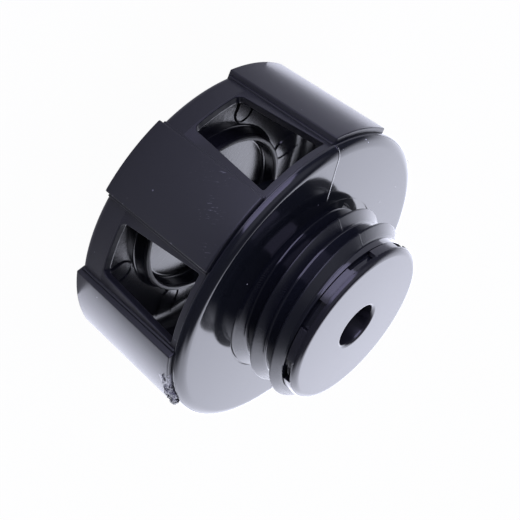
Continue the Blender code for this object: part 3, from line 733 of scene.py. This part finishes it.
def thread_cut(height):
    """Radius of the threaded wall at one height, for each column round the spigot."""
    rise, reach = thread_profile()
    angle = LEAD_ANGLE + np.arange(COLUMNS) / COLUMNS * math.tau
    radius = np.full(COLUMNS, SPIGOT_CORE)
    for turn in range(-2, 3):
        turns = np.arange(COLUMNS) / COLUMNS + turn
        offset = height - LEAD_HEIGHT - turns * PITCH
        inside = (offset >= rise[0]) & (offset <= rise[-1])
        depth = (np.interp(offset, rise, reach) - SPIGOT_CORE) * thread_share(turns)
        radius = np.where(inside, SPIGOT_CORE + depth, radius)
    return radius, angle


def sector_prism(name, turn):
    """Cutter for one opening of the web: a slice of a ring between two straight ribs."""
    radii = np.linspace(WEB_HUB, WEB_RIM, WEB_CUT_ROWS)[:, None]
    half = SIXTH / 2 - np.arcsin(WEB_RIB / 2 / radii)
    angles = turn + half * np.linspace(-1, 1, WEB_CUT_COLUMNS)
    skin = Skin()
    borders = []
    for height in (WEB_CUT_LOW, WEB_CUT_HIGH):
        lid = round_axis(radii, angles, height)
        skin.add(lid)
        borders.append(np.concatenate((lid[0, :-1], lid[:-1, -1], lid[-1, :0:-1], lid[:0:-1, 0])))
    skin.add(np.array(borders), wrap=True)
    return skin.make(name)


def make_base():
    """The base: threaded spigot, flange, locating ring and standpipe in one skin, and a pierced web."""
    skin = Skin()
    skin.add(thread_strip())
    top_radius, angle = thread_cut(THREAD_TOP)
    foot_radius_row, _ = thread_cut(RELIEF_FLOOR)

    def ring(outline, radius_row, height):
        """A turned outline whose first ring is the thread's own edge."""
        edge = round_axis(radius_row, angle, height)
        skin.add(np.concatenate((edge[None], turned(outline, angle))), wrap=True)

    ring(section([
        (SPIGOT_CORE - SHOULDER_INSET, SHOULDER - SHOULDER_DROP, 0),
        (NECK_RADIUS, SHOULDER, NECK_FOOT_FILLET),
        (NECK_RADIUS, NECK_TOP, NECK_TOP_FILLET),
        (SPIGOT_BORE, NECK_TOP, SMALL_FILLET),
        (SPIGOT_BORE, FLANGE_FACE, BORE_FOOT_FILLET),
        (PIN_RADIUS, FLANGE_FACE, SMALL_FILLET),
        (PIN_RADIUS, PIN_TOP, PIN_FILLET),
        (0.0, PIN_TOP, 0),
    ]), top_radius, THREAD_TOP)
    round_angles = np.radians(np.linspace(90, 0, RIM_ROUND_POINTS))
    rim = np.stack((FLANGE_RADIUS - RIM_ROUND_RADIUS + RIM_ROUND_RADIUS * np.cos(round_angles),
                    FLANGE_FACE - RIM_ROUND_HEIGHT + RIM_ROUND_HEIGHT * np.sin(round_angles)), axis=-1)
    face = section([
        (RELIEF_RADIUS - RELIEF_EDGE, RELIEF_FLOOR, 0),
        (RELIEF_RADIUS, RELIEF_FLOOR, 0),
        (RELIEF_RADIUS, FLANGE_FACE, RELIEF_FILLET),
        (FLANGE_RADIUS - RIM_ROUND_RADIUS, FLANGE_FACE, 0),
    ])
    underside = section([
        (FLANGE_RADIUS, FLANGE_FACE - RIM_ROUND_HEIGHT, 0),
        (FLANGE_RADIUS, FLANGE_FOOT, FLANGE_FOOT_FILLET),
        (LOCATING_RADIUS, FLANGE_FOOT, SMALL_FILLET),
        (LOCATING_RADIUS, LOCATING_FOOT, SMALL_FILLET),
        (LOCATING_BORE, LOCATING_FOOT, SMALL_FILLET),
        (LOCATING_BORE, WEB_FOOT, LOCATING_ROOT_FILLET),
        (PIPE_RADIUS, WEB_FOOT, PIPE_ROOT_FILLET),
        (PIPE_RADIUS, PIPE_FOOT, PIPE_FOOT_FILLET),
        (PIPE_BORE, PIPE_FOOT, PIPE_FOOT_FILLET),
        (PIPE_BORE, WEB_FOOT, SMALL_FILLET),
        (0.0, WEB_FOOT, 0),
    ])
    ring(np.vstack((face, rim[1:-1], underside)), foot_radius_row, RELIEF_FLOOR)
    base = skin.make("base_moulding")
    openings = [sector_prism("web_opening", SIXTH * sixth) for sixth in range(6)]
    return combined(base, openings, "DIFFERENCE")


def cap_angles(radius):
    """Angles of the end cap's columns at each radius.

    Columns in a slot keep their distance across it, so the slot's sides stay parallel, and those of
    the fingers share out the angle that is left.
    """
    radius = np.maximum(np.atleast_1d(radius), SKIRT_BORE)[:, None]
    period = math.tau / SLOTS
    finger_cells = END_CAP_COLUMNS // SLOTS - SLOT_CELLS
    slot = np.arcsin(np.linspace(-SLOT_HALF_WIDTH, SLOT_HALF_WIDTH, SLOT_CELLS + 1) / radius)
    share = np.arange(1, finger_cells) / finger_cells
    finger = slot[:, -1:] + (period - 2 * slot[:, -1:]) * share
    angles = np.hstack((slot, finger))
    return np.hstack([SLOT_ANGLE + index * period + angles for index in range(SLOTS)])


def make_end_cap():
    """The end cap: disc and funnel turned from one outline, with a skirt parted by eight slots."""
    skin = Skin()
    per_slot = END_CAP_COLUMNS // SLOTS
    column = np.arange(END_CAP_COLUMNS) % per_slot
    in_finger = column >= SLOT_CELLS
    outer = section([
        (MOUTH_RADIUS, CAP_FACE, 0),
        (CAP_RADIUS, CAP_FACE, CAP_EDGE_FILLET),
        (CAP_RADIUS, SKIRT_FOOT, 0),
    ])
    outer = outer[outer[:, 0] > MOUTH_RADIUS + 2 * MOUTH_FILLET]
    edge_radius = np.interp(-SLOT_TOP, -outer[:, 1], outer[:, 0])
    funnel = section([
        (outer[0, 0], CAP_FACE, 0),
        (MOUTH_RADIUS, CAP_FACE, MOUTH_FILLET),
        (SEAT_RADIUS, SEAT_HEIGHT, SEAT_INNER_FILLET),
        (SEAT_RADIUS + FUNNEL_WALL, SEAT_HEIGHT, SEAT_OUTER_FILLET),
        (MOUTH_RADIUS + FUNNEL_WALL, CAP_DISC_FOOT, FUNNEL_ROOT_FILLET),
        (SKIRT_BORE, CAP_DISC_FOOT, 0),
        (SKIRT_BORE, SLOT_TOP, 0),
    ])
    above = outer[outer[:, 1] > SLOT_TOP]
    disc = np.vstack((above, [edge_radius, SLOT_TOP]))
    for outline in (disc, funnel):
        skin.add(turned(outline, cap_angles(outline[:, 0])), wrap=True)
    levels = np.linspace(SLOT_TOP, SKIRT_FOOT, SKIRT_LEVELS)
    outside = np.interp(-levels, -outer[:, 1], outer[:, 0])
    radial = np.linspace(0, 1, SKIRT_STEPS)
    skirt = [
        (outside, levels, in_finger),
        (SKIRT_BORE, levels, in_finger),
        (CAP_RADIUS + (SKIRT_BORE - CAP_RADIUS) * radial, SKIRT_FOOT, in_finger),
        (edge_radius + (SKIRT_BORE - edge_radius) * radial, SLOT_TOP, ~in_finger),
    ]
    for radii, heights, kept in skirt:
        outline = np.stack(np.broadcast_arrays(radii, heights), axis=-1)
        mask = np.broadcast_to(kept, (len(outline) - 1, END_CAP_COLUMNS))
        skin.add(turned(outline, cap_angles(outline[:, 0])), wrap=True, mask=mask)
    for slot in range(SLOTS):
        for side in (0, SLOT_CELLS):
            rows = []
            for level, reach in zip(levels, outside):
                radii = reach + (SKIRT_BORE - reach) * radial
                angles = cap_angles(radii)[:, slot * per_slot + side]
                rows.append(round_axis(radii, angles, level))
            skin.add(np.array(rows))
    end_cap = skin.make("end_cap_moulding")
    bevel = end_cap.modifiers.new("edges", "BEVEL")
    bevel.width = SKIRT_BEVEL
    bevel.segments = SKIRT_BEVEL_SEGMENTS
    bevel.limit_method = "ANGLE"
    bevel.angle_limit = SKIRT_BEVEL_ANGLE
    return end_cap


class Value:
    """A number socket of a node tree; sums and products of it add Math nodes."""

    def __init__(self, tree, socket):
        self.tree = tree
        self.socket = socket

    def math(self, operation, first, second=0.0):
        node = self.tree.node("ShaderNodeMath", {"operation": operation}, {0: first, 1: second})
        return Value(self.tree, node.outputs[0])

    def __add__(self, other):
        return self.math("ADD", self, other)

    __radd__ = __add__

    def __sub__(self, other):
        return self.math("SUBTRACT", self, other)

    def __rsub__(self, other):
        return self.math("SUBTRACT", other, self)

    def __mul__(self, other):
        return self.math("MULTIPLY", self, other)

    __rmul__ = __mul__

    def __truediv__(self, other):
        return self.math("DIVIDE", self, other)

    def sine(self):
        return self.math("SINE", self)

    def root(self):
        return self.math("SQRT", self)

    def size(self):
        return self.math("ABSOLUTE", self)

    def band(self, low, high):
        """0 below low, 1 above high and a smooth rise between them; from 1 to 0 where low is above high."""
        node = self.tree.node(
            "ShaderNodeMapRange", {"interpolation_type": "SMOOTHSTEP"}, {"Value": self, 1: low, 2: high})
        return Value(self.tree, node.outputs["Result"])


class Nodes:
    """A node tree and the ways to add to it."""

    def __init__(self, tree):
        self.nodes = tree.nodes
        self.links = tree.links

    def feed(self, socket, given):
        """Put a value on a socket, or link a Value or another socket to it."""
        if isinstance(given, Value):
            given = given.socket
        if isinstance(given, bpy.types.NodeSocket):
            self.links.new(given, socket)
        elif isinstance(given, tuple) and len(given) == 3 and socket.type == "RGBA":
            socket.default_value = (*given, 1.0)
        else:
            socket.default_value = given

    def node(self, kind, settings, inputs):
        """Add a node: its settings first, then the values or links of its sockets."""
        node = self.nodes.new(kind)
        for name, setting in settings.items():
            setattr(node, name, setting)
        for key, given in inputs.items():
            self.feed(node.inputs[key], given)
        return node

    def parts(self, coordinates):
        """The three numbers of a place or direction."""
        split = self.node("ShaderNodeSeparateXYZ", {}, {0: coordinates})
        return [Value(self, socket) for socket in split.outputs]


class Finish(Nodes):
    """One material, with object coordinates in millimetres and patterns to build it from."""

    def __init__(self, name):
        self.material = bpy.data.materials.new(name)
        self.material.use_nodes = True
        super().__init__(self.material.node_tree)
        self.shader = self.nodes["Principled BSDF"]
        self.place = self.node("ShaderNodeTexCoord", {}, {}).outputs["Object"]
        self.x, self.y, self.z = (part * (1 / MM) for part in self.parts(self.place))

    def noise(self, scale, detail=2.0, roughness=0.5, place=None):
        """A cloud pattern from 0 to 1, its scale in patches in a metre."""
        node = self.node(
            "ShaderNodeTexNoise", {},
            {"Vector": place or self.place, "Scale": scale, "Detail": detail, "Roughness": roughness})
        return Value(self, node.outputs["Fac"])

    def specks(self, scale, radius):
        """Small round dots, one to a cell, and each cell's own random number to choose among them."""
        node = self.node("ShaderNodeTexVoronoi", {}, {"Vector": self.place, "Scale": scale})
        chance = self.node("ShaderNodeSeparateColor", {}, {0: node.outputs["Color"]})
        near = Value(self, node.outputs["Distance"]).band(radius, radius * SPECK_CORE)
        return near, Value(self, chance.outputs[0])

    def polar(self, round_scale, radius_scale, height_scale):
        """Coordinates that run round the axis, outwards and up, without a seam."""
        radius = self.radius()
        joined = self.node("ShaderNodeCombineXYZ", {}, {
            0: self.x / radius * round_scale + radius * radius_scale,
            1: self.y / radius * round_scale,
            2: self.z * height_scale + radius * radius_scale})
        return joined.outputs[0]

    def radius(self):
        """Distance from the cap's axis, in millimetres."""
        return (self.x * self.x + self.y * self.y).root()

    def blend(self, factor, first, second):
        """Mix of two colours."""
        node = self.node("ShaderNodeMix", {"data_type": "RGBA"}, {"Factor": factor, 6: first, 7: second})
        return node.outputs[2]

    def bump(self, height, distance):
        """A bump in which a height of 1 stands for the distance in metres."""
        inputs = {"Height": height, "Distance": distance, "Strength": 1.0}
        return self.node("ShaderNodeBump", {}, inputs).outputs[0]

    def dress(self, **sockets):
        """Set the shader's sockets by name, with spaces written as underscores."""
        for name, given in sockets.items():
            self.feed(self.shader.inputs[name.replace("_", " ").title().replace("Ior", "IOR")], given)
        return self.material


def parting_line(finish, half_width):
    """1 on the mould's parting plane through the axis, 0 beside it."""
    return ((finish.x - finish.y) * math.sqrt(0.5)).size().band(half_width, half_width * MARK_CORE)


def scuffs(finish):
    """Fine slanted scratches in the worn places of the pad that faces -Y."""
    slanted = finish.node("ShaderNodeCombineXYZ", {}, {
        0: (finish.x + finish.z * SCUFF_SLANT) * 2.6, 1: 0.0, 2: (finish.z - finish.x * SCUFF_SLANT) * 0.5})
    lines = finish.noise(1.0, 3.0, 0.6, slanted.outputs[0]).band(0.6, 0.68)
    worn = 0.0
    for x, z, reach in SCUFF_PLACES:
        across = finish.x - x
        along = finish.z - z
        worn = (across * across + along * along).root().band(reach, reach * MARK_CORE) + worn
    on_front_pad = finish.y.band(-38.0, -39.0)
    return lines * worn * on_front_pad


def torn_zone(finish):
    """1 at the torn gate on the pad at -30 degrees: a slanted corner that runs down to a point."""
    along = finish.x * TORN_WAY[0] + finish.y * TORN_WAY[1]
    above = (finish.z - along * 0.42 - 29.5).band(0.0, 0.35)
    near = (along + finish.z * 0.7 - 19.1).band(0.0, 0.35)
    return above * near * along.band(10.5, 9.5) * finish.x.band(20.0, 21.0)


def knob_finish():
    """Black moulded plastic of the knob.

    It is satin outside, with scuffs, specks and the torn gate, and glossier on the floor, with flow
    marks. The windows' edges are hatched, and the splash ring's lip is rougher.
    """
    f = Finish("knob_plastic_moulded")
    radius = f.radius()
    outside = radius.band(38.2, 38.4)
    pad = radius.band(39.75, 39.9)
    floor = radius.band(36.0, 35.0) * f.z.band(7.0, 5.0)
    in_wall = radius.band(36.7, 36.9) * radius.band(38.9, 38.7)
    window_edge = in_wall * f.z.band(6.4, 6.6) * f.z.band(31.0, 30.8)
    grain = f.noise(2600.0, 3.0)
    cloud = f.noise(90.0, 3.0)
    flow = f.noise(9.0, 4.0, 0.6, f.polar(2.4, 0.035, 0.1))
    hatch = (f.z * 21.0 + f.noise(700.0) * 3.0).sine() * 0.5 + 0.5
    dot, chance = f.specks(620.0, 0.16)
    dots = dot * chance.band(0.93, 0.95) * f.noise(60.0).band(0.45, 0.6)
    scuff = pad * scuffs(f)
    tear = radius.band(39.4, 39.6) * torn_zone(f)
    lip = radius.band(20.6, 20.9) * radius.band(23.2, 22.9) * f.z.band(4.2, 4.6) * f.z.band(7.0, 6.0)
    roughness = 0.14 + outside * 0.18 + cloud * 0.06 + floor * 0.02 + window_edge * 0.14 + lip * 0.25
    torn = tear * f.noise(900.0, 4.0).band(0.36, 0.52)
    light = dots * outside + scuff * 0.5 + torn
    color = f.blend(light, KNOB_TONE, WORN_TONE)
    chips = tear * f.noise(1500.0, 4.0)
    height = grain * 0.12 + flow * floor * 1.6 + hatch * window_edge * 2.2 + chips * 3.0
    return f.dress(base_color=color, roughness=roughness, normal=f.bump(height, MOULD_BUMP))


def base_finish():
    """Glossy black plastic of the base.

    It has a parting line and a little dust. The thread's flanks are rougher and mottled, with comb
    marks near the root on a stretch in front and its like behind, up to a height of 44 mm.
    """
    f = Finish("base_plastic_moulded")
    radius = f.radius()
    crest = radius.band(20.9, 21.4) * radius.band(23.7, 23.6) * f.z.band(34.6, 35.0)
    grain = f.noise(1800.0, 2.0)
    cloud = f.noise(70.0, 3.0)
    seam = parting_line(f, 0.3) * radius.band(24.5, 28.5) + parting_line(f, 0.2) * crest
    across = f.x / radius
    root_side = radius.band(22.1, 21.7) * f.z.band(44.0, 43.6)
    comb = (across * 240.0).sine() * across.band(0.05, 0.09) * across.band(0.36, 0.3) * crest * root_side
    dot, chance = f.specks(560.0, 0.13)
    dust = dot * chance.band(0.9, 0.91) * f.noise(50.0).band(0.38, 0.47) * radius.band(24.0, 25.0)
    color = f.blend(dust, BASE_TONE, DUST_TONE)
    roughness = 0.08 + cloud * 0.05 + crest * 0.17 + dust * 0.4
    mottle = f.noise(240.0, 3.0) * crest
    height = grain * 0.05 + cloud * 0.6 + seam * 6.0 + comb * 1.6 + mottle * 1.8
    return f.dress(base_color=color, roughness=roughness, normal=f.bump(height, MOULD_BUMP))


def cap_finish():
    """Plastic of the end cap, evenly glossy with a faint grain."""
    f = Finish("end_cap_plastic_moulded")
    grain = f.noise(2200.0, 2.0)
    cloud = f.noise(60.0, 3.0)
    color = f.blend(cloud.band(0.3, 0.8), *CAP_TONES)
    normal = f.bump(grain * 0.15 + cloud, CAP_BUMP)
    return f.dress(base_color=color, roughness=0.15 + cloud * 0.07, normal=normal)


def plain_finish(name, dark, light, roughness, grain, metallic):
    """A finish for the inner pieces: two tones in patches, with a grain in roughness and bump."""
    f = Finish(name)
    patches = f.noise(grain * 0.2, 3.0)
    fine = f.noise(grain, 3.0)
    return f.dress(
        base_color=f.blend(patches, dark, light), roughness=roughness + fine * 0.12, metallic=metallic,
        normal=f.bump(fine, INNER_BUMP))


def foam_finish():
    """Open-celled foam: light ridges, with the cells' pits coloured dark as painted shade."""
    f = Finish("filter_foam_open")
    cells = f.node(
        "ShaderNodeTexVoronoi", {"feature": "DISTANCE_TO_EDGE"}, {"Vector": f.place, "Scale": FOAM_CELLS})
    ridge = Value(f, cells.outputs["Distance"]).band(0.2, 0.02)
    # Painted shade: the base colour goes dark in the cells' pits and light on the ridges
    return f.dress(
        base_color=f.blend(ridge, *FOAM_TONES_WITH_PIT_SHADE), roughness=0.9, normal=f.bump(ridge, FOAM_BUMP))


def place_pieces():
    """Make the moulded pieces, hand them to the frame and dress every node that stays."""
    mouldings = [
        (make_knob(), "knob", "knob_plastic", knob_finish()),
        (make_base(), "base", "base_plastic", base_finish()),
        (make_end_cap(), "end_cap", "end_cap_plastic", cap_finish()),
    ]
    for piece, node, slot, material in mouldings:
        piece.data.materials.clear()
        piece.data.materials.append(material)
        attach(piece, "housing")
        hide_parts(node)
    inner = {name: plain_finish(*values) for name, values in INNER_FINISHES.items()}
    inner["filter_element"] = foam_finish()
    for name, material in inner.items():
        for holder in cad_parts[name].material_slots:
            holder.material = material


def make_camera():
    """Camera of the photograph.

    It stands 0.28 m from the cap, looks down by 24.5 degrees and is rolled. Its three axes point to
    the right, up and back in the picture.
    """
    data = bpy.data.cameras.new("camera")
    data.sensor_width = SENSOR_WIDTH
    data.lens = SENSOR_WIDTH * FOCAL_SHARE
    data.clip_start = NEAR_CLIP
    camera = bpy.data.objects.new("camera", data)
    turn = Matrix(CAMERA_AXES).transposed().to_4x4()
    camera.matrix_world = Matrix.Translation(CAMERA_PLACE) @ turn
    bpy.context.scene.collection.objects.link(camera)
    bpy.context.scene.camera = camera


def make_lamp(name, place, rotation, size, brightness, color):
    """A rectangular lamp, hidden from the camera; its brightness is the light it shows in a mirror."""
    width, height = size
    data = bpy.data.lights.new(name, "AREA")
    data.shape = "RECTANGLE"
    data.size = width
    data.size_y = height
    data.color = color
    data.energy = brightness * math.pi * width * height
    lamp = bpy.data.objects.new(name, data)
    lamp.location = place
    lamp.rotation_mode = "QUATERNION"
    lamp.rotation_quaternion = rotation
    lamp.visible_camera = False
    bpy.context.scene.collection.objects.link(lamp)


def face_up(turn):
    """Rotation of a lamp on the floor, turned about Z. A lamp shines along its own -Z."""
    return (Matrix.Rotation(turn, 3, "Z") @ Matrix.Rotation(math.pi, 3, "X")).to_quaternion()


def make_sky():
    """World of the studio: a white backdrop behind the cap, soft at its edges, and a dim room in front.

    The backdrop's middle is +Y, turned by 11 degrees towards +X. It fades with the share of that
    way in a direction's flat part and with the direction's height. A weak glow stands high in front
    to the left.
    """
    world = bpy.data.worlds.new("studio")
    world.use_nodes = True
    sky = Nodes(world.node_tree)
    x, y, z = sky.parts(sky.node("ShaderNodeTexCoord", {}, {}).outputs["Generated"])
    flat = (x * x + y * y + 0.0001).root()
    away = y * math.cos(BACKDROP_TURN) - x * math.sin(BACKDROP_TURN)
    backdrop = (away / flat).band(*BACKDROP_EDGE) * z.band(*BACKDROP_TOP)
    glow = (x * GLOW_WAY[0] + y * GLOW_WAY[1] + z * GLOW_WAY[2]).band(*GLOW_EDGE)
    strength = backdrop * BACKDROP_LIGHT + glow * GLOW_LIGHT + ROOM_LIGHT
    background = sky.nodes["Background"]
    sky.feed(background.inputs["Strength"], strength)
    background.inputs["Color"].default_value = (*STUDIO_WHITE, 1.0)
    bpy.context.scene.world = world


def make_lights():
    """Lamps of the studio.

    Two light tables lie on the floor behind the cap, with their front edges running outwards from
    its left and right pads. A tall lavender softbox stands in front to the left, with its own glow
    on the floor at its foot.
    """
    for x, y, turn in TABLES:
        make_lamp("light_table", (x, y, LAMP_LIFT), face_up(turn), TABLE_SIZE, TABLE_LIGHT, STUDIO_WHITE)
    away = Vector(SOFTBOX_PLACE) - Vector(SOFTBOX_TARGET)
    make_lamp("tall_softbox", SOFTBOX_PLACE, away.to_track_quat("Z", "Y"), SOFTBOX_SIZE,
              LAVENDER_LIGHT, LAVENDER)
    make_lamp("table_glow", (*TABLE_GLOW_PLACE, LAMP_LIFT), face_up(TABLE_GLOW_TURN), TABLE_GLOW_SIZE,
              LAVENDER_LIGHT, LAVENDER)


def make_floor():
    """Pale floor under the cap: white to the camera, with the cap's own shadow kept faintly.

    Further out in front and to the right its colour and its glow in reflections are darkened as painted
    shade, so it is dark in the cap's reflections.
    """
    corners = [(FLOOR_REACH * x, FLOOR_REACH * y, 0) for x, y in ((-1, -1), (1, -1), (1, 1), (-1, 1))]
    mesh = bpy.data.meshes.new("floor")
    mesh.from_pydata(corners, [], [(0, 1, 2, 3)])
    floor = bpy.data.objects.new("floor", mesh)
    bpy.context.scene.collection.objects.link(floor)
    f = Finish("floor_white")
    # Painted shade: dim darkens the floor's colour and its glow in reflections far out in front and to the
    # right
    far_out = f.radius().band(98, 112)
    dim = far_out * f.x.band(-15, 10) * f.y.band(15, -15)
    f.dress(base_color=f.blend(dim, FLOOR_TONE, FLOOR_PAINTED_SHADE_TONE), roughness=0.7, specular_ior_level=0.1)
    glow = f.node("ShaderNodeEmission", {}, {"Color": (1.0, 1.0, 1.0), "Strength": 1.0})
    path = f.node("ShaderNodeLightPath", {}, {})
    glossy = Value(f, path.outputs["Is Glossy Ray"]) * (1 - dim) * FLOOR_GLOW_SHARE
    share = Value(f, path.outputs["Is Camera Ray"]) * FLOOR_CAMERA_SHARE + glossy
    mix = f.node("ShaderNodeMixShader", {}, {0: share, 1: f.shader.outputs[0], 2: glow.outputs[0]})
    f.feed(f.nodes["Material Output"].inputs["Surface"], mix.outputs[0])
    mesh.materials.append(f.material)


bpy.context.scene.view_settings.view_transform = "Standard"
make_camera()
make_sky()
make_lights()
make_floor()
place_pieces()
